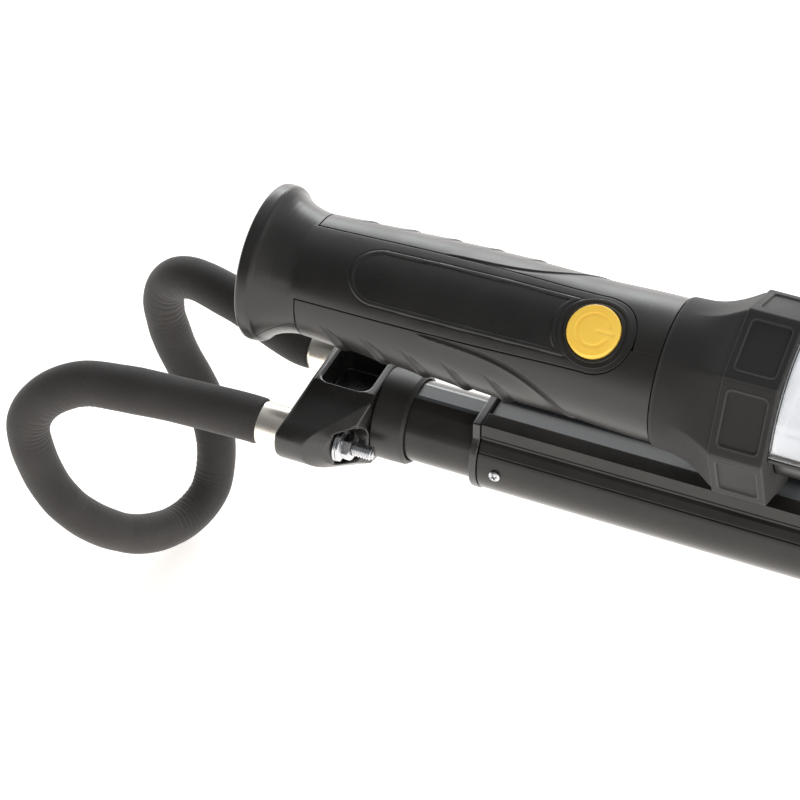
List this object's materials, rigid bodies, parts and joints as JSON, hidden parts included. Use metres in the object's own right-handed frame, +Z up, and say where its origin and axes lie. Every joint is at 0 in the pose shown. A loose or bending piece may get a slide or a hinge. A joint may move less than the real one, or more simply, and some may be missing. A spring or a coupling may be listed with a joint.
{
  "type": "telescopic under-bonnet work light",
  "caption": "Cordless tube work light clipped on a slotted telescopic rail, with a bracket and a foam-covered flexible hook loop at each end.",
  "frame": {"origin": "on the ground below the middle of the rail: the centre of the light's box from above, level with the undersides of the two hooks", "axes": "+X along the rail towards the lamp's closed end, +Y to the rear, +Z up from the rail to the lamp"},
  "size_m": [0.854, 0.0928, 0.1845],
  "materials": {
    "anodised": "gloss black anodised, fine extrusion lines",
    "gloss_black": "moulded gloss black nylon",
    "satin_black": "satin black moulded plastic",
    "grip_black": "soft-touch black grip",
    "bumper_rubber": "matte dark grey rubber",
    "foam": "closed-cell black foam sleeve",
    "zinc": "bright zinc plated",
    "nickel": "bright nickel plated",
    "spring_steel": "plain spring steel",
    "button_yellow": "amber yellow, satin",
    "clear_lens": "clear polycarbonate",
    "reflector": "bright metallised reflector",
    "led_board": "white solder mask on an aluminium core",
    "circuit_board": "green solder mask",
    "cell": "shrink-wrapped lithium cell"
  },
  "bodies": {
    "rail": {"outer_rail": "anodised", "left_end_cap": "gloss_black", "right_end_cap": "gloss_black", "left_front_cap_screw": "zinc", "left_rear_cap_screw": "zinc", "right_front_cap_screw": "zinc", "right_rear_cap_screw": "zinc"},
    "left_arm": {"left_inner_tube": "anodised", "left_guide_plug": "satin_black", "left_collar": "bumper_rubber", "left_bracket": "gloss_black", "left_front_ferrule": "nickel", "left_front_hook_bolt": "zinc", "left_front_washer": "zinc", "left_front_flange_nut": "zinc", "left_rear_ferrule": "nickel", "left_rear_hook_bolt": "zinc", "left_rear_washer": "zinc", "left_rear_flange_nut": "zinc"},
    "right_arm": {"right_inner_tube": "anodised", "right_guide_plug": "satin_black", "right_collar": "bumper_rubber", "right_bracket": "gloss_black", "right_front_ferrule": "nickel", "right_front_hook_bolt": "zinc", "right_front_washer": "zinc", "right_front_flange_nut": "zinc", "right_rear_ferrule": "nickel", "right_rear_hook_bolt": "zinc", "right_rear_washer": "zinc", "right_rear_flange_nut": "zinc"},
    "left_hook": {"left_hook_core": "spring_steel", "left_hook_foam": "foam"},
    "right_hook": {"right_hook_core": "spring_steel", "right_hook_foam": "foam"},
    "clips": {"lamp_clip_left": "satin_black", "lamp_clip_right": "satin_black"},
    "lamp": {"handle_front_shell": "satin_black", "handle_rear_shell": "satin_black", "grip_upper": "grip_black", "grip_lower": "grip_black", "handle_end_cap": "satin_black", "charge_socket": "nickel", "battery_cell_outer": "cell", "battery_cell_inner": "cell", "control_board": "circuit_board", "power_switch": "satin_black", "bumper_near": "bumper_rubber", "bumper_end": "bumper_rubber", "head_back_housing": "satin_black", "lens_cover": "clear_lens", "reflector": "reflector", "led_board": "led_board"},
    "button": {"power_button": "button_yellow"}
  },
  "joints": [
    {"name": "left_arm_slide", "type": "slide", "parent": "rail", "child": "left_arm", "axis": [-1, 0, 0], "range_m": [-0.024, 0.17]},
    {"name": "right_arm_slide", "type": "slide", "parent": "rail", "child": "right_arm", "axis": [1, 0, 0], "range_m": [-0.024, 0.17]},
    {"name": "left_hook_flex", "type": "hinge", "parent": "left_arm", "child": "left_hook", "pos_m": [-0.337, 0, 0.09809], "axis": [0, 1, 0], "range_deg": [-12, 12]},
    {"name": "right_hook_flex", "type": "hinge", "parent": "right_arm", "child": "right_hook", "pos_m": [0.337, 0, 0.09809], "axis": [0, -1, 0], "range_deg": [-12, 12]},
    {"name": "clip_slide", "type": "slide", "parent": "rail", "child": "clips", "axis": [1, 0, 0], "range_m": [-0.13, 0.13]},
    {"name": "lamp_turn", "type": "hinge", "parent": "clips", "child": "lamp", "pos_m": [0, 0, 0.15049], "axis": [-1, 0, 0], "range_deg": [-3, 72]},
    {"name": "button_press", "type": "slide", "parent": "lamp", "child": "button", "axis": [0, 0.5664, -0.8241], "range_m": [0, 0.0012], "stiffness_N_per_m": 2500, "springref_m": -0.0006}
  ]
}
